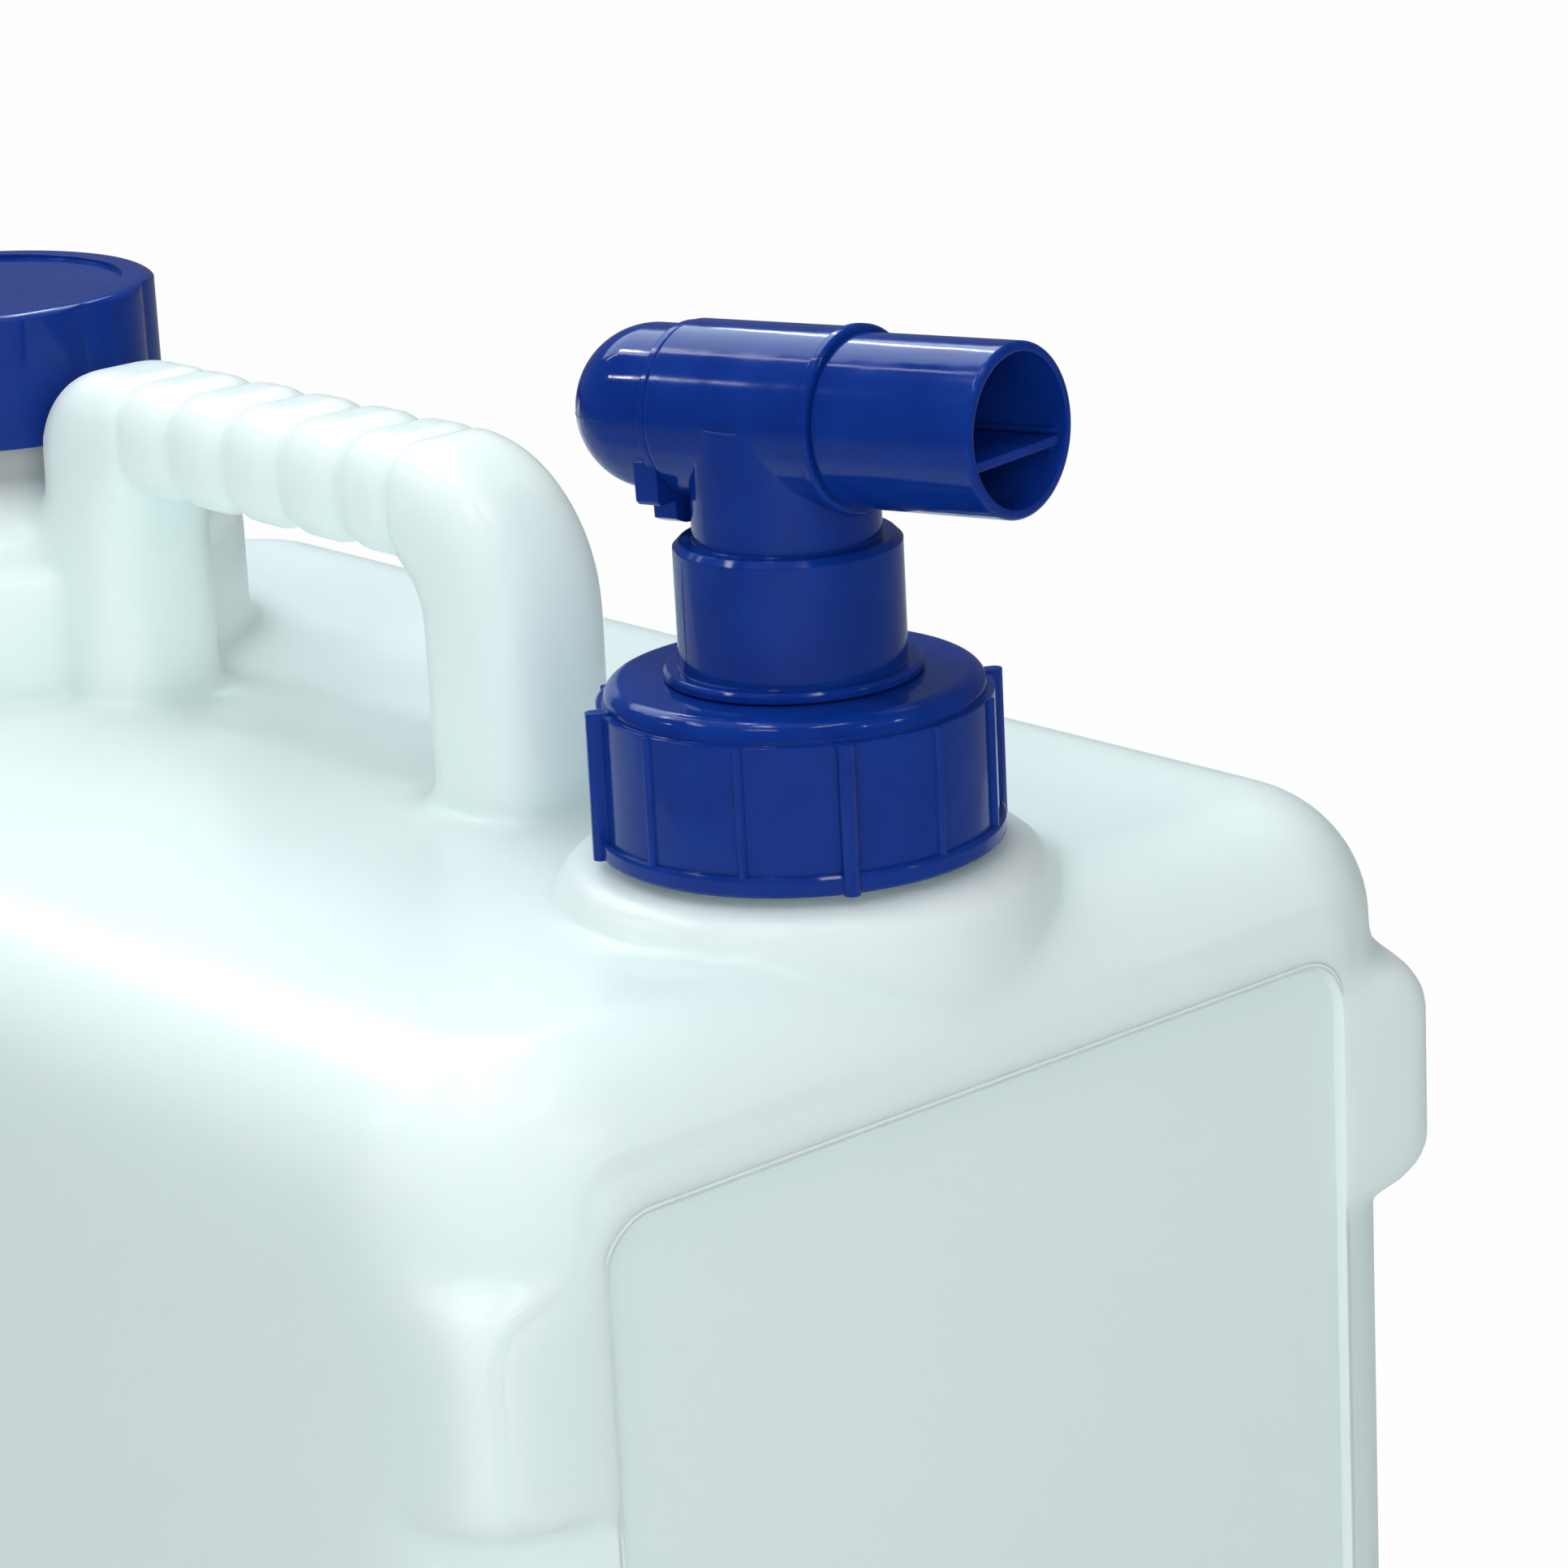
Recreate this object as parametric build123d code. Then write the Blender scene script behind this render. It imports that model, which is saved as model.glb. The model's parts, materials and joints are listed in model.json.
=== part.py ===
"""Fresh water tank: a blow-moulded carry tank with a bridge handle, a screw fill cap and a rotary tap.

Millimetres, +Z up.  The origin is the centre of the tank's footprint, on the surface it stands on.
+X points at the end that carries the tap; the tank is laid on that end to pour.
"""
from build123d import *
from math import atan2, cos, degrees, pi, radians, sin, sqrt
import os

# ---------------------------------------------------------------- tank shell
tank_length = 360.0
tank_width = 230.0
tank_height = 250.0
wall = 2.2                  # blow-moulded wall
corner_radius = 33.0        # the four upright corners
top_edge_radius = 24.5
base_edge_radius = 16.0

# sunk panel on both short ends
panel_depth = 1.8
panel_width = 173.0
panel_margin = 27.3         # above and below the panel
panel_corner = 9.0
panel_slope = 30.0          # degrees, slope of the panel's border

# bumpers that square off the upright corners
bumper_top_drop = 31.0      # below the top of the tank
bumper_height = 50.0
bumper_ridge_radius = 8.0
bumper_end_radius = 10.0
bumper_width = 50.0         # across the corner
bumper_side_radius = 16.0

# places of the two openings along the tank
fill_x = 57.0 - tank_length / 2
tap_x = tank_length / 2 - 47.4

# ---------------------------------------------------------------- handle
handle_width = 28.8
handle_top = tank_height + 68.0
handle_bar_depth = 23.4
handle_front_leg = 28.8     # thickness of the leg beside the tap
handle_front_x = tap_x - 63.4      # outer face of that leg
handle_rear_x = fill_x + 67.6      # inner face of the leg beside the filler
handle_opening_length = handle_front_x - handle_front_leg - handle_rear_x
handle_rear_leg = 27.0
handle_rear_flare = 11.0    # the rear leg spreads into the filler shoulder
handle_front_round = 31.7
handle_rear_round = 20.0
handle_inner_round = 10.0
handle_edge_round = 9.0
handle_root_round = 5.0
grip_count = 5
grip_pitch = (handle_opening_length - 5.8) / grip_count
grip_groove_depth = 1.5
grip_taper = 5.0            # length of a lobe's slope into the groove

# ---------------------------------------------------------------- filler
fill_foot_radius = 54.0
fill_foot_height = 26.0     # above the tank top
fill_tier_radius = 49.0
fill_tier_height = 32.5
fill_cone_top_radius = 36.0
fill_cone_height = 41.5
fill_neck_radius = 33.0
fill_neck_bore = 30.0
fill_neck_top = tank_height + 72.9
fill_round = 3.0

cap_radius = 39.6
cap_bottom = tank_height + 50.2
cap_height = 27.3
cap_plate = 2.6
cap_bore = 35.4
cap_lobes = 10
cap_lobe_rise = 1.4         # how far a lobe stands over the grooves between them
cap_lobe_phase = -30.5      # degrees
cap_top_round = 2.6
cap_dish_depth = 0.8
cap_dish_radius = 33.0
cap_seal_thickness = 2.0
cap_seal_width = 4.6
cap_thread_pitch = 6.0

# ---------------------------------------------------------------- tap neck and ring nut
tap_boss_radius = 44.0
tap_boss_height = 7.0
tap_boss_round = 6.5
nut_base = tank_height + 8.6       # underside of the ring nut's rim
tap_neck_radius = 29.6
tap_neck_bore = 26.2
tap_neck_height = 21.9      # above the underside of the nut

nut_height = 30.0
nut_rim_radius = 36.0
nut_rim_height = 3.6
nut_skirt_radius = 34.8
nut_skirt_height = 26.2
nut_shoulder_radius = 33.5
nut_shoulder_round = 3.2
nut_rim_chamfer = 0.6
nut_bore = 31.6
nut_plate = 3.0
nut_hole = 18.0
nut_rib_count = 12
nut_rib_width = 1.7
nut_rib_rise = 0.9
nut_big_rib_every = 3
nut_big_rib_width = 2.8
nut_big_rib_rise = 2.5
nut_rib_phase = -28.5       # degrees

seat_gap = 0.1              # between stacked parts that the nut clamps
gasket_thickness = 2.0
gasket_width = 4.0

# ---------------------------------------------------------------- tap, in its own upright frame
tap_swivel = 10.0           # degrees from +X towards +Y as the tap is left
spout_rise = 2.5            # degrees the barrel tips up towards the mouth
skirt_disc_radius = 22.7
skirt_disc_lift = 0.4       # air gap over the nut
skirt_disc_thickness = 1.7
stub_radius = 20.0
stub_top = 54.4
stub_chamfer = 1.1
tap_neck_tube = 16.5
barrel_height = 75.6
barrel_radius = 15.7
barrel_half_length = 17.6
barrel_bead_radius = 16.3
barrel_bead_width = 2.2
barrel_bore = 13.5
passage_radius = 12.5       # upright water passage under the barrel
tail_socket = 16.6
tail_depth = 18.0           # how far the tail reaches into the stub

tail_radius = 16.5
tail_bore = 13.0
tail_flange_radius = 28.0
tail_flange_thickness = 3.0
tail_pilot_radius = 25.9
tail_pilot_height = 8.0
tail_pilot_wall = 2.4

web_thickness = 1.6         # wall that parts the air from the water
web_offset = -3.0           # along the barrel, from the tap axis
divider_drop = 4.0          # divider below the spout's centre when the tap is shut

# ---------------------------------------------------------------- rotary spigot, along +X of the barrel
running_gap = 0.1
spigot_radius = barrel_bore - running_gap
spigot_bore = 11.4
spigot_end_wall = 2.0
spigot_peg_radius = 6.0
spigot_peg_length = 6.0
port_radius = 9.5
spout_radius = 14.9
spout_bore = 13.2
spout_mouth = 50.4
spout_lip_round = 0.8
divider_inset = 1.0
guide_rib = 1.0
oring_section = 0.8         # half thickness of the sealing ring
oring_position = 13.4

dome_radius = 14.6
dome_wall = 2.0
dome_start = 27.2
collar_radius = 15.4
collar_thickness = 2.3
end_gap = 0.3               # between the barrel and the parts that turn against it

stop_radius = 19.8
stop_width = 4.4
stop_reach = 23.8
stop_clearance = 0.6
far_stop_angle = 112.0      # degrees round the barrel from the stop underneath, over the far side
lug_length = 4.9
lug_outer_y = 13.5
lug_inner_y = 8.0
lug_bottom = 14.5
lug_web_gap = 0.4


def tube(radius, bore, height):
    return Cylinder(radius, height, align=(Align.CENTER, Align.CENTER, Align.MIN)) - Pos(Z=-1) * Cylinder(
        bore, height + 2, align=(Align.CENTER, Align.CENTER, Align.MIN)
    )


def disc(radius, z_low, z_high):
    return Pos(Z=z_low) * Cylinder(radius, z_high - z_low, align=(Align.CENTER, Align.CENTER, Align.MIN))


def slab(x_low, x_high, y_low, y_high, z_low, z_high):
    block = Box(x_high - x_low, y_high - y_low, z_high - z_low)
    return Pos((x_low + x_high) / 2, (y_low + y_high) / 2, (z_low + z_high) / 2) * block


def turned(outline):
    """Solid of revolution about Z from (radius, height) points, closed along the axis."""
    return revolve(Plane.XZ * make_face(outline), Axis.Z)


# ---------------------------------------------------------------- tank

def rounded_box(inset):
    plan = RectangleRounded(tank_length - 2 * inset, tank_width - 2 * inset, corner_radius - inset)
    box = Pos(Z=inset) * extrude(plan, tank_height - 2 * inset)
    box = fillet(box.faces().sort_by(Axis.Z)[-1].edges(), top_edge_radius - inset)
    return fillet(box.faces().sort_by(Axis.Z)[0].edges(), base_edge_radius - inset)


def bumper(side_x, side_y, inset):
    """Squared-off corner pad with rounded ends, set to the corner at (side_x, side_y)."""
    height = bumper_height - 2 * inset
    middle = tank_height - bumper_top_drop - bumper_height / 2
    plan = RectangleRounded(
        tank_length - 2 * inset, tank_width - 2 * inset, bumper_ridge_radius - inset
    )
    prism = Pos(Z=middle - height / 2) * extrude(plan, height)
    outward = Vector(side_x, side_y, 0).normalized()
    across = Vector(-side_y, side_x, 0).normalized()
    corner = Vector(side_x * tank_length / 2, side_y * tank_width / 2, middle)
    ridge = corner - outward * (bumper_ridge_radius * (sqrt(2) - 1) + inset)
    depth = 2 * corner_radius
    face_on = extrude(
        Plane(ridge, x_dir=across, z_dir=outward)
        * RectangleRounded(bumper_width - 2 * inset, height, bumper_side_radius - inset),
        amount=depth, both=True,
    )
    side_on = extrude(
        Plane(ridge, x_dir=outward, z_dir=across)
        * Pos(X=-depth / 2) * RectangleRounded(depth, height, bumper_end_radius - inset),
        amount=bumper_width, both=True,
    )
    return prism & face_on & side_on


def end_panel(side):
    """Tool that sinks the panel into one short end."""
    height = tank_height - 2 * panel_margin
    face = Plane((side * (tank_length / 2 - panel_depth), 0, tank_height / 2), x_dir=(0, 1, 0), z_dir=(side, 0, 0))
    return extrude(face * RectangleRounded(panel_width, height, panel_corner), 4 * panel_depth, taper=-panel_slope)


def handle_loop(inset):
    """Side profile of the bridge handle, given its width and rounded edges."""
    front = handle_front_x - inset
    top = handle_top - inset
    opening_front = handle_front_x - handle_front_leg
    opening_rear = opening_front - handle_opening_length
    rear = opening_rear - handle_rear_leg + inset
    low = tank_height - 2 * handle_root_round - wall
    flare_top = tank_height + fill_cone_height
    outline = FilletPolyline(
        (front, low), (front, top), (rear, top), (rear - 1, flare_top),
        (rear - handle_rear_flare, tank_height + fill_foot_height / 2),
        (rear - handle_rear_flare, low),
        radius=[handle_front_round - inset, handle_rear_round - inset, handle_edge_round, handle_edge_round],
    )
    side = make_face(outline.edges() + [Line((rear - handle_rear_flare, low), (front, low))])
    hole_top = handle_top - handle_bar_depth + inset
    hole = FilletPolyline(
        (opening_front + inset, low - 1), (opening_front + inset, hole_top),
        (opening_rear - inset, hole_top), (opening_rear - inset, low - 1),
        radius=handle_inner_round + inset,
    )
    opening = make_face(hole.edges() + [Line((opening_rear - inset, low - 1), (opening_front + inset, low - 1))])
    loop = extrude(Plane.XZ * (side - opening), handle_width / 2 - inset, both=True)
    long_edges = loop.edges().filter_by(lambda edge: abs(edge.center().Y) > handle_width / 2 - inset - 0.01)
    rims = long_edges.filter_by(lambda edge: edge.center().Z > low + 0.1)
    return fillet(rims, handle_edge_round - inset)


def grip_section(inset):
    depth = handle_bar_depth - 2 * inset
    return Plane.YZ * RectangleRounded(handle_width - 2 * inset, depth, handle_edge_round - inset)


def grip_lobe():
    """One finger lobe: a short pillow that tapers into the groove at both ends."""
    crown = grip_pitch - 2 * grip_taper
    lobe = extrude(grip_section(0), crown / 2, both=True)
    slope = degrees(atan2(grip_groove_depth, grip_taper))
    for end, outward in ((crown / 2, 1), (-crown / 2, -1)):
        face = Plane((end, 0, 0), x_dir=(0, outward, 0), z_dir=(outward, 0, 0))
        section = RectangleRounded(handle_width, handle_bar_depth, handle_edge_round)
        lobe += extrude(face * section, grip_taper, taper=slope)
    return lobe


def handle():
    """Handle with finger lobes along its bar."""
    middle_x = handle_front_x - handle_front_leg - handle_opening_length / 2
    middle = Pos(middle_x, 0, handle_top - handle_bar_depth / 2)
    span = grip_count * grip_pitch
    around = Box(span, 2 * handle_width, 2 * handle_bar_depth)
    core = extrude(grip_section(grip_groove_depth), span / 2 + 1, both=True)
    loop = handle_loop(0) - middle * (around - core)
    lobe = grip_lobe()
    for index in range(grip_count):
        loop += middle * Pos(X=(index - (grip_count - 1) / 2) * grip_pitch) * lobe
    return loop


def filler(inset):
    """Stepped shoulder and neck, turned about the filler's axis; inset gives the space inside."""
    foot = tank_height - base_edge_radius - top_edge_radius
    neck = fill_neck_bore if inset else fill_neck_radius
    top = fill_neck_top + 1 if inset else fill_neck_top

    def rise(height):
        return tank_height + height - inset

    outline = FilletPolyline(
        (fill_foot_radius - inset, foot),
        (fill_foot_radius - inset, rise(fill_foot_height)),
        (fill_tier_radius - inset, rise(fill_foot_height + 2)),
        radius=fill_round - inset / 2,
    )
    upper = Polyline(
        (fill_tier_radius - inset, rise(fill_foot_height + 2)),
        (fill_tier_radius - inset, rise(fill_tier_height)),
        (fill_cone_top_radius - inset, rise(fill_cone_height)),
        (neck, rise(fill_cone_height + 1)),
        (neck, top),
        (0, top), (0, foot), (fill_foot_radius - inset, foot),
    )
    return Pos(fill_x) * turned(outline.edges() + upper.edges())


def tap_boss(inset):
    """Round pad and plain neck under the ring nut; inset gives the space inside."""
    foot = tank_height - 2 * top_edge_radius
    pad = disc(tap_boss_radius - inset, foot, tank_height + tap_boss_height - inset)
    pad = fillet(pad.edges().group_by(Axis.Z)[-1], tap_boss_round - inset)
    if inset:
        neck = disc(tap_neck_bore, foot, nut_base + tap_neck_height + 1)
    else:
        neck = disc(tap_neck_radius, foot, nut_base + tap_neck_height)
    return Pos(tap_x) * (pad + neck)


def tank_form(inset):
    form = rounded_box(inset)
    for side_x in (-1, 1):
        for side_y in (-1, 1):
            form += bumper(side_x, side_y, inset)
    if inset:
        form += handle_loop(inset + grip_groove_depth)
    else:
        form += handle()
    form += tap_boss(inset)
    form += filler(inset)
    return form


def tank_body():
    shell = tank_form(0)
    for side in (-1, 1):
        shell -= end_panel(side)
    inside = tank_form(wall)
    for side in (-1, 1):
        inside -= Pos(X=-side * wall) * end_panel(side)
    return shell - inside


# ---------------------------------------------------------------- fill cap

def fill_cap():
    """Screw cap with broad lobes round its skirt and a shallow dish in the top."""
    pitch_angle = 2 * pi / cap_lobes
    half_chord = (cap_radius - cap_lobe_rise) * sin(pitch_angle / 2)
    sagitta = cap_radius - (cap_radius - cap_lobe_rise) * cos(pitch_angle / 2)
    lobe_radius = (half_chord**2 + sagitta**2) / (2 * sagitta)
    points = []
    for index in range(cap_lobes):
        start = radians(cap_lobe_phase) + index * pitch_angle
        groove = cap_radius - cap_lobe_rise
        first = (groove * cos(start), groove * sin(start))
        crest = (cap_radius * cos(start + pitch_angle / 2), cap_radius * sin(start + pitch_angle / 2))
        last = (groove * cos(start + pitch_angle), groove * sin(start + pitch_angle))
        points.append(ThreePointArc(first, crest, last))
    skirt = extrude(make_face(points), cap_height)
    skirt &= fillet(disc(cap_radius + 1, -1, cap_height).edges().group_by(Axis.Z)[-1], cap_top_round + 1)
    skirt -= disc(cap_bore, -1, cap_height - cap_plate)
    skirt -= disc(cap_dish_radius, cap_height - cap_dish_depth, cap_height + 1)
    return Pos(fill_x, 0, cap_bottom) * skirt


def fill_cap_seal():
    outer = fill_neck_radius + seat_gap
    ring = tube(outer, outer - cap_seal_width, cap_seal_thickness - 2 * seat_gap)
    return Pos(fill_x, 0, fill_neck_top + seat_gap) * ring


# ---------------------------------------------------------------- ring nut

def nut_rib(width, rise, z_low, z_high):
    depth = nut_skirt_radius + rise - nut_bore - 0.8
    bar = Box(depth, width, z_high - z_low, align=(Align.MAX, Align.CENTER, Align.MIN))
    bar = chamfer(bar.edges().filter_by(Axis.Z).sort_by(Axis.X)[-2:], width * 0.3)
    return Pos(nut_skirt_radius + rise, 0, z_low) * bar


def ring_nut():
    """Ribbed ring nut: every third rib is a tall grip rib that runs over the rim."""
    outline = Polyline(
        (nut_rim_radius, 0),
        (nut_rim_radius, nut_rim_height),
        (nut_skirt_radius, nut_rim_height),
        (nut_skirt_radius, nut_skirt_height),
        (nut_shoulder_radius, nut_skirt_height),
        (nut_shoulder_radius, nut_height),
        (nut_hole, nut_height),
        (nut_hole, nut_height - nut_plate),
        (nut_bore, nut_height - nut_plate),
        (nut_bore, 0),
        close=True,
    )
    nut = turned(outline.edges())
    crown = nut.edges().filter_by(GeomType.CIRCLE).group_by(Axis.Z)[-1].sort_by(SortBy.RADIUS)[-1]
    nut = fillet(crown, nut_shoulder_round)
    rim = nut.edges().filter_by(GeomType.CIRCLE).sort_by(SortBy.RADIUS)[-2:]
    nut = chamfer(rim, nut_rim_chamfer)
    for index in range(nut_rib_count):
        if index % nut_big_rib_every:
            rib = nut_rib(nut_rib_width, nut_rib_rise, nut_rim_height - 0.5, nut_skirt_height)
        else:
            rib = nut_rib(nut_big_rib_width, nut_big_rib_rise, 0, nut_skirt_height + 0.4)
        nut += Rot(Z=nut_rib_phase + index * 360 / nut_rib_count) * rib
    return Pos(tap_x, 0, nut_base) * nut


# ---------------------------------------------------------------- tap

def in_tap(shape):
    """From the tap's own upright frame to its place on the tank."""
    return Pos(tap_x, 0, nut_base) * Rot(Z=tap_swivel) * shape


def in_barrel(shape):
    """From the barrel's frame, along +X, to the tap's upright frame."""
    return Pos(Z=barrel_height) * Rot(Y=-spout_rise) * shape


def lying(radius, x_low, x_high):
    """Cylinder along X."""
    return Pos(X=x_low) * Rot(Y=90) * Cylinder(
        radius, x_high - x_low, align=(Align.CENTER, Align.CENTER, Align.MIN)
    )


def stop_finger(angle):
    """Finger on the barrel's rear end that reaches back over the end cap's collar; 0 is straight down."""
    root = slab(-barrel_half_length, -barrel_bore, -stop_width / 2, stop_width / 2,
                -stop_radius, -barrel_bore - 1)
    finger = slab(-stop_reach, -barrel_bore, -stop_width / 2, stop_width / 2,
                  -stop_radius, -collar_radius - stop_clearance)
    return Rot(X=angle) * (root + finger)


def tap_body():
    stub_low = nut_height + skirt_disc_lift
    stub = disc(stub_radius, stub_low, stub_top)
    stub = chamfer(stub.edges().group_by(Axis.Z)[-1], stub_chamfer)
    skirt_disc = disc(skirt_disc_radius, stub_low, stub_low + skirt_disc_thickness)
    skirt_disc = chamfer(skirt_disc.edges().group_by(Axis.Z)[-1], skirt_disc_thickness / 3)
    body = stub + skirt_disc + disc(tap_neck_tube, stub_top - 1, barrel_height)
    bead = lying(barrel_bead_radius, barrel_half_length - barrel_bead_width, barrel_half_length)
    bead = chamfer(bead.edges(), (barrel_bead_radius - barrel_radius) * 0.8)
    barrel = lying(barrel_radius, -barrel_half_length, barrel_half_length) + bead
    body += in_barrel(barrel + stop_finger(0) + stop_finger(far_stop_angle))
    tail_top = nut_height - nut_plate + tail_depth + skirt_disc_lift + nut_plate
    body -= disc(tail_socket, stub_low - 1, tail_top)
    passage = disc(passage_radius, tail_top - 1, barrel_height)
    web = slab(web_offset - web_thickness / 2, web_offset + web_thickness / 2,
               -passage_radius, passage_radius, tail_top, barrel_height)
    body -= passage - web
    body -= in_barrel(lying(barrel_bore, -2 * barrel_half_length, 2 * barrel_half_length))
    return in_tap(body)


def tap_tail():
    """Flanged tail that the ring nut clamps; its tube is fixed in the tap's stub."""
    flange_top = nut_height - nut_plate - seat_gap
    flange_low = flange_top - tail_flange_thickness
    pilot_low = flange_low - tail_pilot_height
    tube_top = nut_height + skirt_disc_lift + tail_depth - seat_gap
    tail = disc(tail_radius, flange_low, tube_top) + disc(tail_flange_radius, flange_low, flange_top)
    tail += disc(tail_pilot_radius, pilot_low, flange_low)
    tail -= disc(tail_pilot_radius - tail_pilot_wall, pilot_low - 1, flange_low)
    bore = disc(tail_bore, pilot_low - 1, tube_top + 1)
    web = slab(web_offset - web_thickness / 2, web_offset + web_thickness / 2,
               -tail_bore, tail_bore, flange_low, tube_top)
    return in_tap(tail - (bore - web))


def tap_gasket():
    outer = tap_neck_radius
    flange_low = nut_height - nut_plate - seat_gap - tail_flange_thickness
    thickness = flange_low - tap_neck_height - 2 * seat_gap
    ring = tube(outer, tail_pilot_radius + seat_gap, thickness)
    return Pos(tap_x, 0, nut_base + tap_neck_height + seat_gap) * ring


# ---------------------------------------------------------------- spigot

def oring_seat(position):
    ring = lying(spigot_radius + 1, position - oring_section - seat_gap, position + oring_section + seat_gap)
    return ring - lying(spigot_radius - 2 * oring_section, position - 2, position + 2)


def tap_spigot():
    """Ported tube that turns in the barrel and runs out as the spout; shut with its port upward."""
    plug = lying(spigot_radius, -barrel_half_length, barrel_half_length + end_gap + 1)
    spout = lying(spout_radius, barrel_half_length + end_gap, spout_mouth)
    spout = fillet(spout.edges().group_by(Axis.X)[-1], spout_lip_round)
    peg = lying(spigot_peg_radius, -barrel_half_length - spigot_peg_length, -barrel_half_length)
    spigot = plug + spout + peg
    step = barrel_half_length + 2
    hollow = lying(spigot_bore, -barrel_half_length + spigot_end_wall, step)
    mouth = lying(spout_bore, step, spout_mouth + 1)
    spigot -= hollow + mouth
    spigot -= Pos(Z=spigot_bore) * Cylinder(port_radius, 2 * (spigot_radius - spigot_bore) + 8)
    for side in (-1, 1):
        for level in (-1, 1):
            z_mid = -divider_drop + level * (web_thickness / 2 + seat_gap + guide_rib / 2)
            reach = sqrt(spout_bore**2 - z_mid**2)
            rib = slab(step, spout_mouth - 2 * divider_inset, side * reach - guide_rib, side * reach + guide_rib,
                       z_mid - guide_rib / 2, z_mid + guide_rib / 2)
            spigot += rib & lying(spout_bore + 0.5, step, spout_mouth)
    for position in (-oring_position, oring_position):
        spigot -= oring_seat(position)
    return in_tap(in_barrel(spigot))


def spout_divider():
    """L-shaped plate: level along the spout, then upright through the port."""
    step = barrel_half_length + 2
    half = web_thickness / 2
    level = slab(web_offset - half, spout_mouth - divider_inset, -spout_bore, spout_bore,
                 -divider_drop - half, -divider_drop + half)
    upright = slab(web_offset - half, web_offset + half, -spout_bore, spout_bore,
                   -divider_drop, spigot_radius)
    room = lying(spigot_bore - seat_gap, -barrel_half_length, step + 0.5)
    room += lying(spout_bore - seat_gap, step + seat_gap, spout_mouth)
    port = Pos(Z=spigot_bore) * Cylinder(port_radius - seat_gap, 2 * (spigot_radius - spigot_bore) + 8)
    room += port & lying(spigot_radius - seat_gap, -port_radius, port_radius)
    return in_tap(in_barrel((level + upright) & room))


def spigot_oring(position):
    outer = spigot_radius + running_gap / 2
    ring = lying(outer, position - oring_section, position + oring_section)
    ring -= lying(outer - 2 * oring_section, position - 2, position + 2)
    return in_tap(in_barrel(ring))


def dome():
    """Round-ended plug lying along -X from the collar."""
    low = barrel_half_length + end_gap
    arc = ThreePointArc(
        (0, dome_start + dome_radius),
        (dome_radius * sin(pi / 4), dome_start + dome_radius * cos(pi / 4)),
        (dome_radius, dome_start),
    )
    rest = Polyline((dome_radius, dome_start), (dome_radius, low), (0, low), (0, dome_start + dome_radius))
    return Rot(Y=-90) * turned([arc] + rest.edges())


def spigot_end_cap():
    """Domed cap pressed on the spigot's peg; its lug meets the stops."""
    rear = -barrel_half_length - end_gap
    collar = lying(collar_radius, rear - collar_thickness, rear)
    collar = chamfer(collar.edges(), (collar_radius - dome_radius) * 0.6)
    boss = lying(spigot_peg_radius + dome_wall, rear - spigot_peg_length, rear - 0.5)
    hollow = lying(dome_radius - 1.8 * dome_wall, -dome_start - dome_radius / 2, rear - collar_thickness)
    cap = collar + dome() - hollow + boss
    cap -= lying(spigot_peg_radius + seat_gap / 2, rear - spigot_peg_length, rear + 1)
    lug_rear = rear - lug_length
    grip = slab(lug_rear, rear, -lug_outer_y, -lug_inner_y, -lug_bottom, -spigot_peg_radius)
    grip = chamfer(grip.edges().filter_by(Axis.X), stop_width / 6)
    foot = slab(lug_rear, rear, -lug_inner_y - 1, -stop_width / 2 - lug_web_gap,
                -stop_radius + 1, -dome_radius + 3)
    foot &= lying(stop_radius, lug_rear, rear)
    cap += grip + foot
    return in_tap(in_barrel(cap))


def write(name, shape):
    export_step(shape, os.path.join("parts", name + ".step"))


def main():
    os.makedirs("parts", exist_ok=True)
    write("tank_body", tank_body())
    write("fill_cap", fill_cap())
    write("fill_cap_seal", fill_cap_seal())
    write("ring_nut", ring_nut())
    write("tap_body", tap_body())
    write("tap_tail", tap_tail())
    write("tap_gasket", tap_gasket())
    write("tap_spigot", tap_spigot())
    write("spout_divider", spout_divider())
    write("spigot_end_cap", spigot_end_cap())
    write("spigot_oring_front", spigot_oring(oring_position))
    write("spigot_oring_rear", spigot_oring(-oring_position))


main()
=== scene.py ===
# %% [markdown]
# # Dressing a fresh water tank
# The tank is one hollow piece of blow-moulded, milky plastic, with a glossy blue screw cap at one end and a
# glossy blue tap at the other. The solids already have the right sizes. Here they get what a solid model
# leaves out: the soft, flowed corners of a blown bottle, screw threads, mould lines and good plastics. All
# lengths are in metres unless a name or a comment says otherwise.

# %% Load the frame
import json
import math
import bpy
import bmesh
import numpy as np
from mathutils import Matrix, Vector


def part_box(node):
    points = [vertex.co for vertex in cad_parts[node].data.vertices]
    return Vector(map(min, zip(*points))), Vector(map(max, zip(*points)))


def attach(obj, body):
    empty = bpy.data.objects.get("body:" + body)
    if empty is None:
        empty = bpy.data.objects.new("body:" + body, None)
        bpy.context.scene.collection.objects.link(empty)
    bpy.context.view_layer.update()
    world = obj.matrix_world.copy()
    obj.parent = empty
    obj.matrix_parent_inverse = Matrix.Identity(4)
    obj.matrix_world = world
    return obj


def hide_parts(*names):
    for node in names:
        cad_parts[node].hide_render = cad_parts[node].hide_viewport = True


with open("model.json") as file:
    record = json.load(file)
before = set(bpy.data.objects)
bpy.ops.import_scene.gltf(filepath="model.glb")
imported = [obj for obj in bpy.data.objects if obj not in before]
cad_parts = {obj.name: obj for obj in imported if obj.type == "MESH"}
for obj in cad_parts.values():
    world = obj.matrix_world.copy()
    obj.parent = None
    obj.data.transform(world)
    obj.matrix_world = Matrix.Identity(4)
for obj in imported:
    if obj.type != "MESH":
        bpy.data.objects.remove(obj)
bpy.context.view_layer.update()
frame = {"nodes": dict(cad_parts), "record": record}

nodes = frame["nodes"]
print("nodes:", ", ".join(sorted(nodes)))

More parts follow.
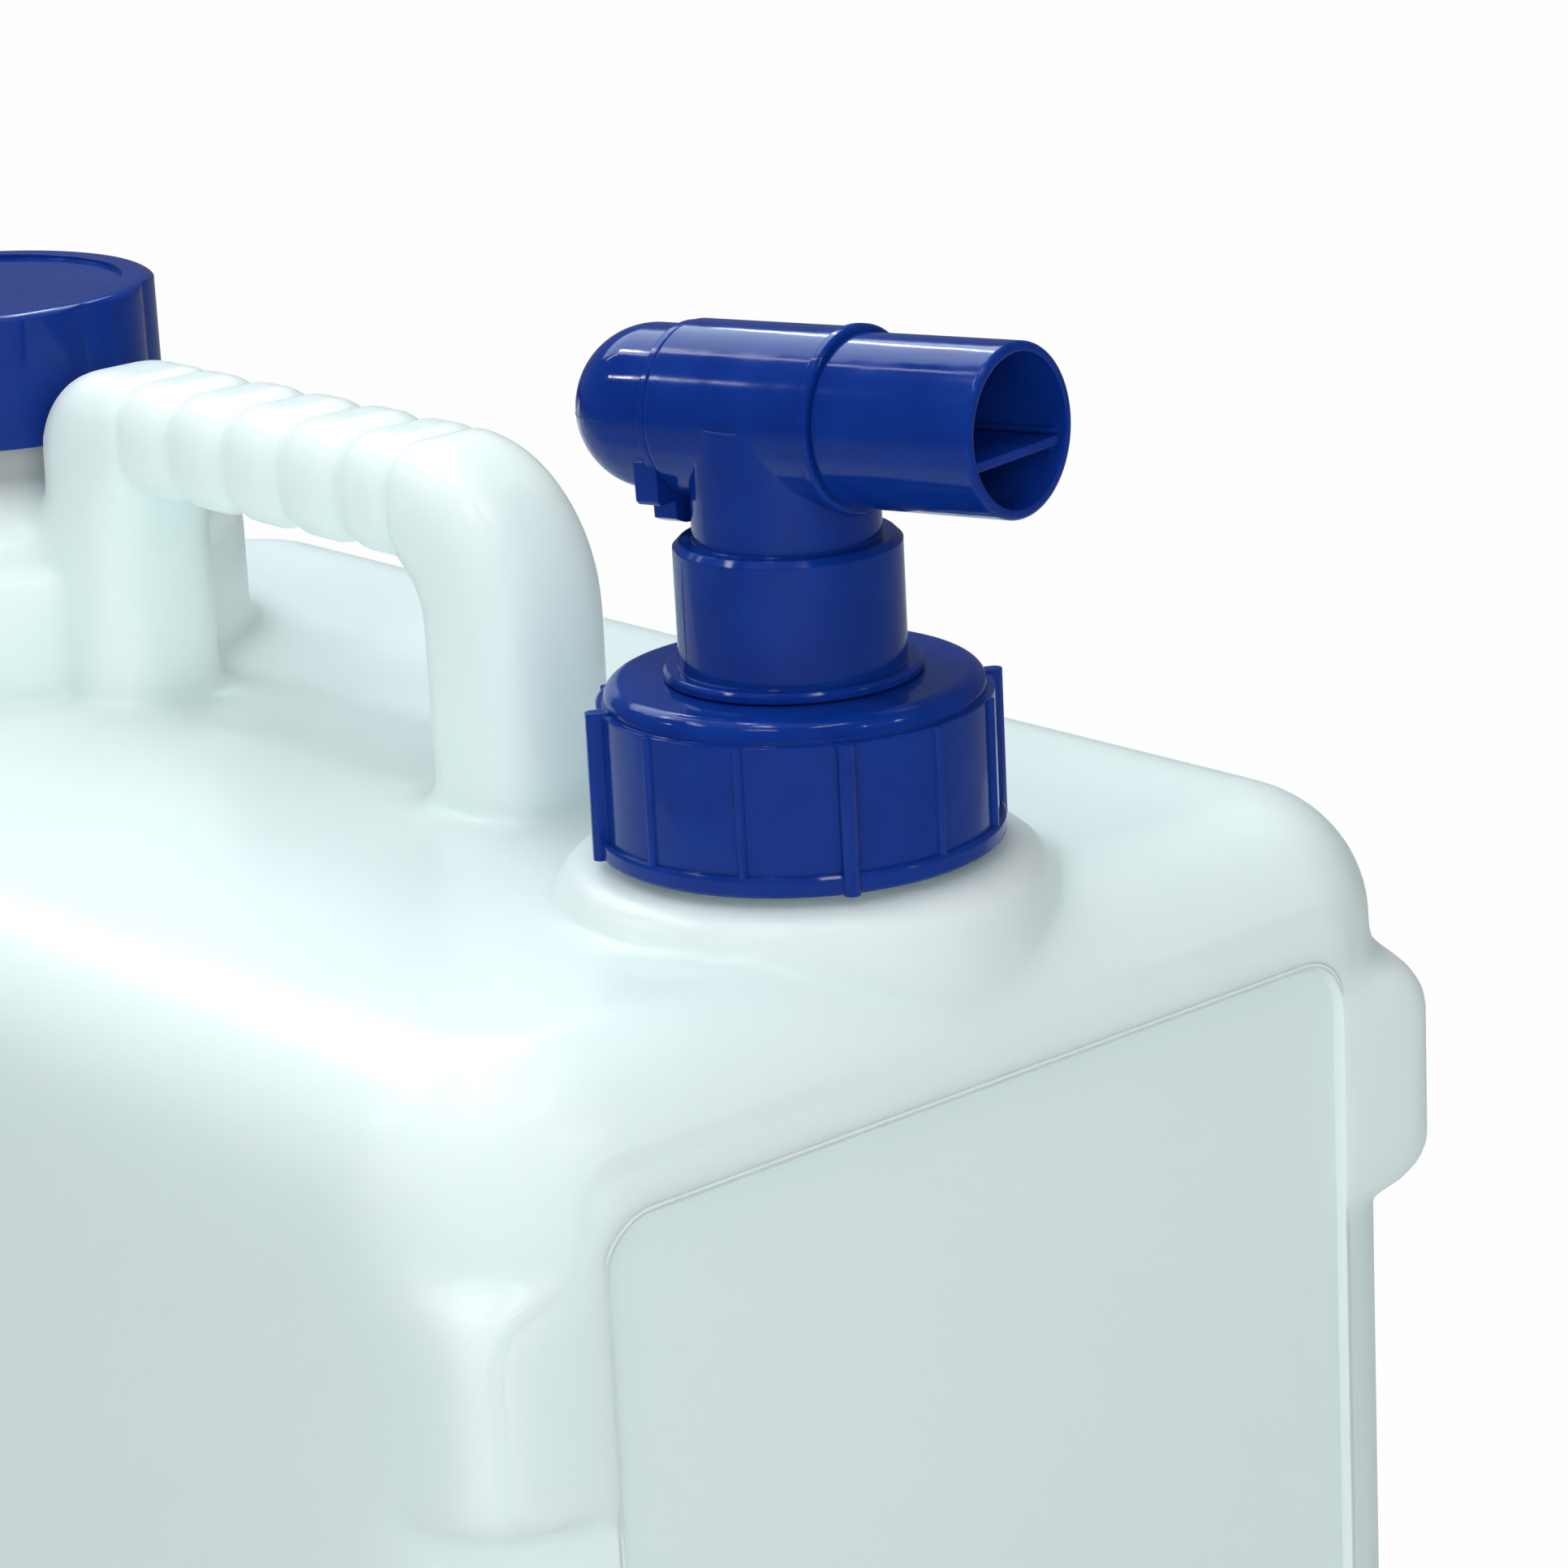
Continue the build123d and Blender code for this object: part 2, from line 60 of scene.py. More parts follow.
# %% [markdown]
# ## Where the camera stands
# A long lens from a corner, a little above the tap, turns the long side and the tap end towards us. The
# camera is placed by three angles, like a tripod: how far round, how high, and how much it leans. A matrix
# built from those three is easier to check than angles typed into the camera one by one.

# %% The camera
LENS_MM, SENSOR_MM = 115.88, 36.0
NEAREST_M, FURTHEST_M = 0.05, 60.0


def tripod(round_deg, up_deg, lean_deg, distance, target, target_in_view):
    """A camera looking from round_deg and up_deg, with the target at the given place on the sensor (-1..1)."""
    around, rise, lean = (math.radians(v) for v in (round_deg, up_deg, lean_deg))
    back = Vector((math.sin(around) * math.cos(rise), -math.cos(around) * math.cos(rise), math.sin(rise)))
    right = Vector((math.cos(around), math.sin(around), 0))
    up = (-back).cross(right) * -1
    x_axis = right * math.cos(lean) + up * math.sin(lean)
    y_axis = up * math.cos(lean) - right * math.sin(lean)
    half_view = SENSOR_MM / 2 / LENS_MM
    place = target + back * distance
    place -= x_axis * (target_in_view[0] * half_view * distance)
    place -= y_axis * (target_in_view[1] * half_view * distance)
    data = bpy.data.cameras.new("tripod_camera")
    data.lens, data.sensor_width = LENS_MM, SENSOR_MM
    data.clip_start, data.clip_end = NEAREST_M, FURTHEST_M
    camera = bpy.data.objects.new("tripod_camera", data)
    turn = Matrix((x_axis, y_axis, back)).transposed()
    camera.matrix_world = Matrix.Translation(place) @ turn.to_4x4()
    bpy.context.collection.objects.link(camera)
    return camera


nut_low, nut_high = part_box("ring_nut")
nut_foot = Vector(((nut_low.x + nut_high.x) / 2, 0, nut_low.z))
camera = tripod(round_deg=48.862, up_deg=16.735, lean_deg=-2.871, distance=0.88535,
                target=nut_foot, target_in_view=(0.0231, -0.0657))
bpy.context.scene.camera = camera
print("camera at", tuple(round(v, 4) for v in camera.location), "looking at the foot of the ring nut")

# %% [markdown]
# ## A white room
# The tank stands on a white sweep. It must look pure white to the camera, yet more light would burn out the
# pale plastic. So the floor's material answers the camera with plain white and lets through only a trace of
# its shadow. Every other ray meets an ordinary matt floor, which lights the tank softly from below.

# %% The floor
WHITE_SHARE = 0.98
FLOOR_REACH = 14.0
FLOOR_GAP = 0.0004  # the floor lies this far below the base, so that the two faces don't fight


def shader_tree(name):
    """A new material with its Principled shader at hand."""
    material = bpy.data.materials.new(name)
    material.use_nodes = True
    return material, material.node_tree, material.node_tree.nodes["Principled BSDF"]


def white_sweep():
    material, tree, shader = shader_tree("white_sweep")
    shader.inputs["Base Color"].default_value = (0.62, 0.64, 0.64, 1)
    shader.inputs["Roughness"].default_value = 0.9
    glow = tree.nodes.new("ShaderNodeEmission")
    ray = tree.nodes.new("ShaderNodeLightPath")
    share = tree.nodes.new("ShaderNodeMath")
    share.operation = "MULTIPLY"
    share.inputs[1].default_value = WHITE_SHARE
    blend = tree.nodes.new("ShaderNodeMixShader")
    tree.links.new(ray.outputs["Is Camera Ray"], share.inputs[0])
    tree.links.new(share.outputs[0], blend.inputs[0])
    tree.links.new(shader.outputs[0], blend.inputs[1])
    tree.links.new(glow.outputs[0], blend.inputs[2])
    tree.links.new(blend.outputs[0], tree.nodes["Material Output"].inputs["Surface"])
    return material


floor_mesh = bpy.data.meshes.new("floor")
floor_mesh.from_pydata([(x * FLOOR_REACH, y * FLOOR_REACH, -FLOOR_GAP)
                        for x, y in ((-1, -1), (1, -1), (1, 1), (-1, 1))], [], [(0, 1, 2, 3)])
floor_mesh.materials.append(white_sweep())
floor = bpy.data.objects.new("floor", floor_mesh)
bpy.context.collection.objects.link(floor)
print("the floor reaches", FLOOR_REACH, "m to each side")

# %% The room
SKY_COLOUR, SKY_STRENGTH = (0.90, 0.97, 1.0, 1), 0.16
room = bpy.data.worlds.new("room")
room.use_nodes = True
bpy.context.scene.world = room
links = room.node_tree.links
sky = room.node_tree.nodes["Background"]
sky.inputs["Color"].default_value = SKY_COLOUR
sky.inputs["Strength"].default_value = SKY_STRENGTH
plain = room.node_tree.nodes.new("ShaderNodeBackground")
plain.inputs["Color"].default_value = (1, 1, 1, 1)
seen = room.node_tree.nodes.new("ShaderNodeLightPath")
either = room.node_tree.nodes.new("ShaderNodeMixShader")
links.new(seen.outputs["Is Camera Ray"], either.inputs[0])
links.new(sky.outputs[0], either.inputs[1])
links.new(plain.outputs[0], either.inputs[2])
links.new(either.outputs[0], room.node_tree.nodes["World Output"].inputs["Surface"])
bpy.context.scene.view_settings.view_transform = "Standard"
print("a faint sky of strength", SKY_STRENGTH, "fills the room")

# %% [markdown]
# ## Lamps
# One wide soft box overhead shapes the tank, and a second one in front lifts the two upright faces. That one
# is hidden from mirror rays, or it would lay a grey haze over the blue. Gloss only shows when there is
# something small and bright to mirror, so short tubes, thin strips and small sparks stand where the curved
# blue parts look. Each is placed by the compass direction and the height in which a crown, a dome or a barrel
# sends the camera's rays.

# %% Lamps
DAYLIGHT, COOL_LIGHT = (0.98, 1.0, 1.0), (0.78, 0.93, 1.0)


def soft_box(name, compass, height, distance, size, watts, tint=DAYLIGHT, glossy=True):
    """An area lamp that looks at the tap from a direction and an angle above the horizon, in degrees."""
    around, rise = math.radians(compass), math.radians(height)
    away = Vector((math.cos(around) * math.cos(rise), math.sin(around) * math.cos(rise), math.sin(rise)))
    data = bpy.data.lights.new(name, "AREA")
    data.shape = "RECTANGLE"
    data.size, data.size_y = size
    data.energy, data.color = watts, tint
    lamp = bpy.data.objects.new(name, data)
    lamp.location = nut_foot + away * distance
    lamp.rotation_euler = (-away).to_track_quat("-Z", "Y").to_euler()
    lamp.visible_glossy = glossy
    bpy.context.collection.objects.link(lamp)


# Each lamp: name, compass and height in degrees, distance, size in metres, watts.
SMALL_LAMPS_AT = 1.5
TUBE_SIZE, TUBE_WATTS = (0.34, 0.10), 1.9
SPARK_SIZE, SPARK_WATTS = (0.045, 0.045), 0.80
soft_box("overhead", 130, 80, 1.5, (1.4, 1.4), 4.0)
for index, (compass, height) in enumerate(((-130, 80), (-4, 70), (-72, 60), (-140, 56))):
    soft_box("tube_%d" % index, compass, height, SMALL_LAMPS_AT, TUBE_SIZE, TUBE_WATTS)
soft_box("front_fill", -41, 14, 1.9, (1.6, 1.2), 20.5, glossy=False)
soft_box("rear_box", 163, 43, 1.6, (1.2, 0.65), 10.0, tint=COOL_LIGHT)
soft_box("long_strip_0", 148, 42, 1.4, (0.02, 0.5), 0.9)
soft_box("long_strip_1", -165, 49, 1.4, (0.03, 0.6), 0.9)
for index, (compass, height) in enumerate(((162, 66), (5, 38), (26, 32), (-134, 35), (-171, 48))):
    soft_box("spark_%d" % index, compass, height, SMALL_LAMPS_AT, SPARK_SIZE, SPARK_WATTS)

# %% [markdown]
# ## The two plastics
# Milky polyethylene lets light soak in and wander, so shadows under the nut stay pale and edges glow. Clear
# plastic with a fog inside would do it too, but subsurface scattering gives the same look with far less work
# for each ray. A blown bottle is also never quite flat: a slow swell and a faint grain in the bump break up
# the reflections. The blue caps are injection moulded: the same two ideas, but glossier and finer.

# %% Helpers for noise and bump
BEVEL_SAMPLES = 6


def noise_layer(tree, coords, scale, detail):
    noise = tree.nodes.new("ShaderNodeTexNoise")
    noise.inputs["Scale"].default_value = scale
    noise.inputs["Detail"].default_value = detail
    tree.links.new(coords.outputs["Object"], noise.inputs["Vector"])
    return noise


def bump_from(tree, sources, shader, round_edges=0.0):
    """Chains bump nodes, one for each (noise, depth in metres) pair."""
    normal = None
    if round_edges:
        bevel = tree.nodes.new("ShaderNodeBevel")
        bevel.samples = BEVEL_SAMPLES
        bevel.inputs["Radius"].default_value = round_edges
        normal = bevel.outputs["Normal"]
    for noise, depth in sources:
        bump = tree.nodes.new("ShaderNodeBump")
        bump.inputs["Distance"].default_value = depth
        bump.inputs["Strength"].default_value = 1.0
        tree.links.new(noise.outputs["Fac"], bump.inputs["Height"])
        if normal:
            tree.links.new(normal, bump.inputs["Normal"])
        normal = bump.outputs["Normal"]
    tree.links.new(normal, shader.inputs["Normal"])


print("bump can be chained from several noises")

# %% Helpers that blend by a noise
CALM_BAND = (0.35, 0.65)  # noise rarely leaves this band, so both ends of a blend are met inside it


def colour_between(tree, noise, low, high, socket):
    """Lets a noise move a colour gently between two ends."""
    ramp = tree.nodes.new("ShaderNodeValToRGB")
    for element, position, colour in zip(ramp.color_ramp.elements, CALM_BAND, (low, high)):
        element.position, element.color = position, colour + (1,)
    tree.links.new(noise.outputs["Fac"], ramp.inputs["Fac"])
    tree.links.new(ramp.outputs["Color"], socket)


def value_between(tree, noise, low, high, socket):
    """Lets a noise move a value gently between two ends."""
    span = tree.nodes.new("ShaderNodeMapRange")
    span.inputs["From Min"].default_value, span.inputs["From Max"].default_value = CALM_BAND
    span.inputs["To Min"].default_value, span.inputs["To Max"].default_value = low, high
    tree.links.new(noise.outputs["Fac"], span.inputs["Value"])
    tree.links.new(span.outputs["Result"], socket)


print("blends run while the noise goes from", CALM_BAND[0], "to", CALM_BAND[1])

# %% The milky plastic
def milky_plastic(name, scatter):
    """Translucent plastic; scatter is how far light wanders inside, in metres."""
    material, tree, shader = shader_tree(name)
    coords = tree.nodes.new("ShaderNodeTexCoord")
    swell = noise_layer(tree, coords, scale=14.0, detail=2.0)
    grain = noise_layer(tree, coords, scale=700.0, detail=3.0)
    cloud = noise_layer(tree, coords, scale=12.0, detail=1.0)
    colour_between(tree, cloud, (0.815, 0.918, 0.898), (0.822, 0.925, 0.905), shader.inputs["Base Color"])
    value_between(tree, cloud, 0.29, 0.32, shader.inputs["Roughness"])
    shader.inputs["Subsurface Weight"].default_value = 1.0
    shader.inputs["Subsurface Radius"].default_value = (1.0, 1.0, 1.0)
    shader.inputs["Subsurface Scale"].default_value = scatter
    shader.inputs["IOR"].default_value = 1.45
    bump_from(tree, [(swell, 0.0006), (grain, 0.000008)], shader)
    return material


milky = milky_plastic("milky_polyethylene", 0.018)
milky_edge = milky_plastic("milky_edge", 0.0008)
print("finishes:", milky.name, milky_edge.name)

# %% The blue plastic
def blue_plastic(name, deep, bright, rough):
    """Glossy dyed plastic, whose colour drifts between a deep and a bright tone."""
    material, tree, shader = shader_tree(name)
    coords = tree.nodes.new("ShaderNodeTexCoord")
    flow = noise_layer(tree, coords, scale=55.0, detail=2.0)
    grain = noise_layer(tree, coords, scale=1600.0, detail=2.0)
    cloud = noise_layer(tree, coords, scale=90.0, detail=5.0)
    colour_between(tree, cloud, deep, bright, shader.inputs["Base Color"])
    value_between(tree, cloud, rough * 0.8, rough * 1.35, shader.inputs["Roughness"])
    shader.inputs["Subsurface Weight"].default_value = 0.3
    shader.inputs["Subsurface Radius"].default_value = (0.2, 0.35, 1.0)
    shader.inputs["Subsurface Scale"].default_value = 0.0025
    shader.inputs["IOR"].default_value = 1.50
    shader.inputs["Specular IOR Level"].default_value = 0.18
    bump_from(tree, [(flow, 0.00018), (grain, 0.000002)], shader, round_edges=0.0005)
    return material


blue = blue_plastic("glossy_blue", (0.003, 0.027, 0.225), (0.004, 0.034, 0.260), 0.10)
print("finish:", blue.name)

# %% The rubber of the seals
def seal_rubber():
    """Dull black rubber with a little dust."""
    material, tree, shader = shader_tree("seal_rubber")
    coords = tree.nodes.new("ShaderNodeTexCoord")
    dust = noise_layer(tree, coords, scale=400.0, detail=6.0)
    colour_between(tree, dust, (0.018, 0.018, 0.019), (0.035, 0.035, 0.036), shader.inputs["Base Color"])
    value_between(tree, dust, 0.5, 0.7, shader.inputs["Roughness"])
    bump_from(tree, [(dust, 0.00002)], shader)
    return material


rubber = seal_rubber()
print("finish:", rubber.name)

# %% Each node gets its finish
WORN_BY = (
    (blue, ("ring_nut", "tap_body", "tap_tail", "tap_spigot", "spout_divider", "spigot_end_cap", "fill_cap")),
    (rubber, ("fill_cap_seal", "tap_gasket", "spigot_oring_front", "spigot_oring_rear")),
    (milky, ("tank_body",)))
for finish, names in WORN_BY:
    for name in names:
        nodes[name].data.materials.clear()
        nodes[name].data.materials.append(finish)
    print(finish.name, "on", ", ".join(names))

# %% [markdown]
# ## The blown tank
# A bottle mould has no sharp inside corners, because the hot plastic is a bubble that bridges them. So where
# the handle, the tap's pad, the bumpers and the filler's shoulder meet the body, the surface flows. Rounding
# those joints by hand would mean a fillet for each one. It is simpler to let one skin do it: a copy of the
# solid is closed at its mouths, rebuilt as a fine even mesh, and then relaxed, hard at the roots and lightly
# elsewhere. Its neck bores are cut open again at the end.

# %% Helpers for meshes
def new_piece(name, mesh, body, material=None):
    """Puts a mesh in the scene as a piece of the object, riding on a body of the frame."""
    piece = bpy.data.objects.new(name, mesh)
    bpy.context.collection.objects.link(piece)
    if material:
        mesh.materials.clear()
        mesh.materials.append(material)
    for face in mesh.polygons:
        face.use_smooth = True
    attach(piece, body)
    print("%s: %d faces, rides on %s" % (name, len(mesh.polygons), body))
    return piece


def settled(piece):
    """The piece's mesh with its modifiers worked out."""
    graph = bpy.context.evaluated_depsgraph_get()
    return bpy.data.meshes.new_from_object(piece.evaluated_get(graph))


def finish_modifiers(piece):
    """Turns a piece and its modifiers into a plain mesh."""
    mesh = settled(piece)
    piece.modifiers.clear()
    old = piece.data
    piece.data = mesh
    bpy.data.meshes.remove(old)


def helper_object(name, form):
    """A passing object made from a bmesh, such as a cutter."""
    mesh = bpy.data.meshes.new(name)
    form.to_mesh(mesh)
    form.free()
    piece = bpy.data.objects.new(name, mesh)
    bpy.context.collection.objects.link(piece)
    return piece


print("helpers for meshes are ready")

# %% [markdown]
# ### One closed skin
# The solid is hollow, so its mesh has an outside and an inside, joined only by the flat rings at both mouths.
# Take those rings away and it falls into two shells. The outer one is kept and its mouths are filled: a
# remesh needs a closed form, and the inside would only cost faces that nobody sees.

# %% The outer skin of the tank, closed at both mouths
MM = 0.001
FLAT_UP, SAME_HEIGHT, SAME_PLACE = 0.999, 2e-4, 1e-6


def connected_parts(form):
    """The vertices of a mesh, in one list for each part that hangs together."""
    unseen, parts = set(form.verts), []
    while unseen:
        edge, part = [unseen.pop()], []
        while edge:
            vert = edge.pop()
            part.append(vert)
            for link in vert.link_edges:
                other = link.other_vert(vert)
                if other in unseen:
                    unseen.discard(other)
                    edge.append(other)
        parts.append(part)
    return parts


def outer_skin(node, mouth_heights):
    """The outside of a hollow node: its flat mouth rings go, and the part that reaches furthest stays."""
    shell = bmesh.new()
    shell.from_mesh(nodes[node].data)
    bmesh.ops.remove_doubles(shell, verts=shell.verts, dist=SAME_PLACE)
    rings = [f for f in shell.faces if f.normal.z > FLAT_UP
             and any(abs(f.calc_center_median().z - z) < SAME_HEIGHT for z in mouth_heights)]
    bmesh.ops.delete(shell, geom=rings, context="FACES_ONLY")
    parts = sorted(connected_parts(shell), key=lambda part: max(v.co.x for v in part))
    for part in parts[:-1]:
        bmesh.ops.delete(shell, geom=part, context="VERTS")
    print("parts of the shell:", [len(part) for part in parts])
    loose = [v for v in shell.verts if not v.link_faces]
    bmesh.ops.delete(shell, geom=loose, context="VERTS")
    bmesh.ops.holes_fill(shell, edges=[e for e in shell.edges if e.is_boundary], sides=0)
    bmesh.ops.recalc_face_normals(shell, faces=shell.faces)
    return helper_object("blown_tank", shell)


tank_low, tank_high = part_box("tank_body")
gasket_low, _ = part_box("tap_gasket")
fill_seal_low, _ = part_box("fill_cap_seal")
cap_low, cap_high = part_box("fill_cap")
tap_x = nut_foot.x
fill_x = (cap_low.x + cap_high.x) / 2
tap_mouth = gasket_low.z - 0.1 * MM
fill_mouth = fill_seal_low.z - 0.1 * MM
skin = outer_skin("tank_body", (tap_mouth, fill_mouth))
print("outer skin:", len(skin.data.polygons), "faces")

# %% [markdown]
# ### Both ends level for now
# Each short end has a shallow sunk panel with a crisp border. Relaxing would smear a step of under 2 mm, so
# the panels are first brought level with the ends, and cut again when the skin is done.

# %% Level the panels
PANEL_HALF_WIDTH, PANEL_LOW, PANEL_HIGH = 0.0865, 0.0273, 0.2227
PANEL_DEPTH, PANEL_CORNER, PANEL_SLOPE = 0.0018, 0.009, math.tan(math.radians(30))
SLACK, PANEL_RIM = 0.0001, 0.0012
levelled = 0
for vertex in skin.data.vertices:
    x, y, z = vertex.co
    sunk = tank_high.x - abs(x) < PANEL_DEPTH + SLACK
    if sunk and abs(y) < PANEL_HALF_WIDTH + PANEL_RIM and PANEL_LOW - PANEL_RIM < z < PANEL_HIGH + PANEL_RIM:
        vertex.co.x = math.copysign(tank_high.x, x)
        levelled += 1
print("levelled", levelled, "points of both panels")

# %% [markdown]
# ### Where the skin flows
# A vertex group says how strongly each point relaxes, from 0 to 1. Painting it by hand would not survive a
# change of size. Here it is measured: each root of the handle is a short line, each boss a circle, and a
# point's weight falls with its distance from them. numpy does that for all points at once.

# %% A weight that fades with distance
def near_value(values, centre, reach, core=0.5):
    """1 within core reaches of a centre, and 0 from one reach further on, for many values at once."""
    return np.clip(1 + core - np.abs(values - centre) / reach, 0, 1)


def near_line(points, start, end, reach):
    """The same for many points and their distance from a segment."""
    start, end = np.array(start), np.array(end)
    run = end - start
    share = np.clip(((points - start) @ run) / max(run @ run, 1e-12), 0, 1)
    gap = np.linalg.norm(points - (start + share[:, None] * run), axis=1)
    return near_value(gap, 0, reach)


print("weights at 0, 0.5, 1 and 1.5 reaches:", near_value(np.array((0, 0.5, 1, 1.5)), 0, 1))

# %% The handle's roots
TANK_TOP = 0.250
BAR_HALF = 0.0144
TAP_LEG_INSIDE, TAP_LEG_OUTSIDE = 0.0404, 0.0692
FILLER_LEG_INSIDE, FILLER_LEG_OUTSIDE, FILLER_FOOT_ENDS = -0.0554, -0.094, -0.055
SHOULDER_FOOT, SHOULDER_HEAD = (-0.090, 0.262), (-0.080, 0.292)
FOOT_REACH, SHOULDER_REACH = 0.009, 0.008


def handle_roots():
    """The lines along which the handle's two legs meet the tank, and the one on the filler's shoulder."""
    lines = [((x, -BAR_HALF, TANK_TOP), (x, BAR_HALF, TANK_TOP), FOOT_REACH)
             for x in (TAP_LEG_INSIDE, TAP_LEG_OUTSIDE, FILLER_LEG_INSIDE)]
    (x_foot, z_foot), (x_head, z_head) = SHOULDER_FOOT, SHOULDER_HEAD
    for y in (-BAR_HALF, BAR_HALF):
        lines.append(((TAP_LEG_INSIDE, y, TANK_TOP), (TAP_LEG_OUTSIDE, y, TANK_TOP), FOOT_REACH))
        lines.append(((FILLER_LEG_OUTSIDE, y, TANK_TOP), (FILLER_FOOT_ENDS, y, TANK_TOP), FOOT_REACH))
        lines.append(((x_foot, y, z_foot), (x_head, y, z_head), SHOULDER_REACH))
    return lines


print("the handle meets the tank along", len(handle_roots()), "lines")

# %% The bumpers' ends
CORNER_X, CORNER_Y, CORNER_RADIUS = 0.147, 0.082, 0.033
BUMPER_PROUD, BUMPER_INSET = 0.0005, 0.003
BUMPER_TOP_DROP, BUMPER_TOP_REACH = 0.034, 0.006
BUMPER_LOW_DROP, BUMPER_LOW_REACH, BUMPER_LOW_STRENGTH = 0.0755, 0.004, 0.5


def bumper_ends(points):
    """The upper end of each corner bumper, and more gently the lower end."""
    across, over = np.abs(points[:, 0]), np.abs(points[:, 1])
    stands_out = np.hypot(across - CORNER_X, over - CORNER_Y) > CORNER_RADIUS - BUMPER_PROUD
    corner = stands_out & (across > CORNER_X + BUMPER_INSET) & (over > CORNER_Y + BUMPER_INSET)
    drop = TANK_TOP - points[:, 2]
    upper = near_value(drop, BUMPER_TOP_DROP, BUMPER_TOP_REACH)
    lower = near_value(drop, BUMPER_LOW_DROP, BUMPER_LOW_REACH)
    return corner * np.maximum(upper, BUMPER_LOW_STRENGTH * lower)


print("the bumpers relax around", BUMPER_TOP_DROP, "and", BUMPER_LOW_DROP, "m below the top")

# %% All roots together
PAD_RADIUS, FILLER_FOOT_RADIUS = 0.0445, 0.054
EDGE_REACH, EDGE_CORE = 0.006, 0.6
PAD_STRENGTH, PAD_DROP, PAD_BAND = 0.3, 0.004, 0.012
FILLER_BAND = 0.007


def root_weights(points):
    """How strongly each point relaxes: the handle's feet, the tap's pad, the filler's foot and the bumpers."""
    from_tap = np.hypot(points[:, 0] - tap_x, points[:, 1])
    from_filler = np.hypot(points[:, 0] - fill_x, points[:, 1])
    height = points[:, 2]
    pad = near_value(from_tap, PAD_RADIUS, EDGE_REACH, EDGE_CORE)
    pad = PAD_STRENGTH * pad * near_value(height, TANK_TOP - PAD_DROP, PAD_BAND)
    shoulder = near_value(from_filler, FILLER_FOOT_RADIUS, EDGE_REACH, EDGE_CORE)
    shoulder = shoulder * near_value(height, TANK_TOP, FILLER_BAND)
    feet = [near_line(points, *line) for line in handle_roots()]
    return np.clip(np.maximum.reduce([pad, shoulder, bumper_ends(points)] + feet), 0, 1)


print("two circles relax too, of radius", PAD_RADIUS, "and", FILLER_FOOT_RADIUS, "m")

# %% Helpers that move points
DROP_BEFORE = (-1.0, 0.0245, 0.0310, 0.0810, 0.1100, 1.25)
DROP_AFTER = (-1.0, 0.0245, 0.0330, 0.0763, 0.1100, 1.25)
WEIGHT_STEPS = 10


def mesh_points(mesh):
    points = np.empty(len(mesh.vertices) * 3)
    mesh.vertices.foreach_get("co", points)
    return points.reshape(-1, 3)


def shorten_bumpers(mesh):
    """Draws both ends of the corner bumpers in a little; the upright faces between them keep their shape."""
    points = mesh_points(mesh)
    points[:, 2] = TANK_TOP - np.interp(TANK_TOP - points[:, 2], DROP_BEFORE, DROP_AFTER)
    mesh.vertices.foreach_set("co", points.ravel())
    mesh.update()


def weigh(piece, name, weights):
    """A vertex group from an array of weights, rounded to steps so that one call sets many points."""
    group = piece.vertex_groups.new(name=name)
    for step in range(1, WEIGHT_STEPS + 1):
        low, high = (step - 0.5) / WEIGHT_STEPS, (step + 0.5) / WEIGHT_STEPS
        chosen = np.nonzero((weights > low) & (weights <= high))[0]
        if len(chosen):
            group.add([int(i) for i in chosen], step / WEIGHT_STEPS, "REPLACE")
    return group.name


def relax(piece, times, factor, group):
    smooth = piece.modifiers.new("relax", "SMOOTH")
    smooth.iterations, smooth.factor = times, factor
    smooth.vertex_group = group
    finish_modifiers(piece)


print("the bumpers' ends move by up to",
      round(max(abs(a - b) for a, b in zip(DROP_BEFORE, DROP_AFTER)) / MM, 1), "mm")

# %% Rebuild the skin as an even mesh
VOXEL = 0.0013
rebuild = skin.modifiers.new("even_mesh", "REMESH")
rebuild.mode, rebuild.voxel_size, rebuild.adaptivity = "VOXEL", VOXEL, 0.0
finish_modifiers(skin)
shorten_bumpers(skin.data)
print("even mesh:", len(skin.data.polygons), "faces")

# %% Relax it, lightly all over and hard at the roots
BODY_PASSES, BODY_FACTOR = 6, 0.5
ROOT_PASSES, ROOT_FACTOR = 45, 0.6
KEPT_SHARE = 0.25
BAR_FLOOR, BAR_FROM, BAR_TO = 0.286, -0.056, 0.042
BAR_WEIGHT = 0.06  # the finger lobes of the grip are small, so the bar hardly relaxes
points = mesh_points(skin.data)
bar = (points[:, 2] > BAR_FLOOR) & (points[:, 0] > BAR_FROM) & (points[:, 0] < BAR_TO)
relax(skin, BODY_PASSES, BODY_FACTOR, weigh(skin, "body", np.where(bar, BAR_WEIGHT, 1.0)))
relax(skin, ROOT_PASSES, ROOT_FACTOR, weigh(skin, "roots", root_weights(mesh_points(skin.data))))
skin.vertex_groups.clear()
thin = skin.modifiers.new("fewer_faces", "DECIMATE")
thin.ratio = KEPT_SHARE
finish_modifiers(skin)
print("relaxed skin:", len(skin.data.polygons), "faces")

# %% [markdown]
# ### Bores and panels
# Now the crisp forms come back. The two necks are bored open with plain cylinders. Each panel is sunk with a
# flared block: its small end is the panel's floor, and its sloping sides leave the border. A Boolean with the
# exact solver gives clean edges here, which a second remesh would round again.

# %% Cutters for the bores
BORE_SEGMENTS = 96
TAP_BORE, TAP_BORE_FLOOR = 0.0262, 0.2600
FILL_BORE, FILL_BORE_FLOOR = 0.0300, 0.2700
ABOVE_NECKS = 0.34


def bore_cutter(x, radius, low, high):
    form = bmesh.new()
    bmesh.ops.create_cone(form, cap_ends=True, segments=BORE_SEGMENTS, radius1=radius, radius2=radius,
                          depth=high - low, matrix=Matrix.Translation((x, 0, (low + high) / 2)))
    return helper_object("neck_bore", form)


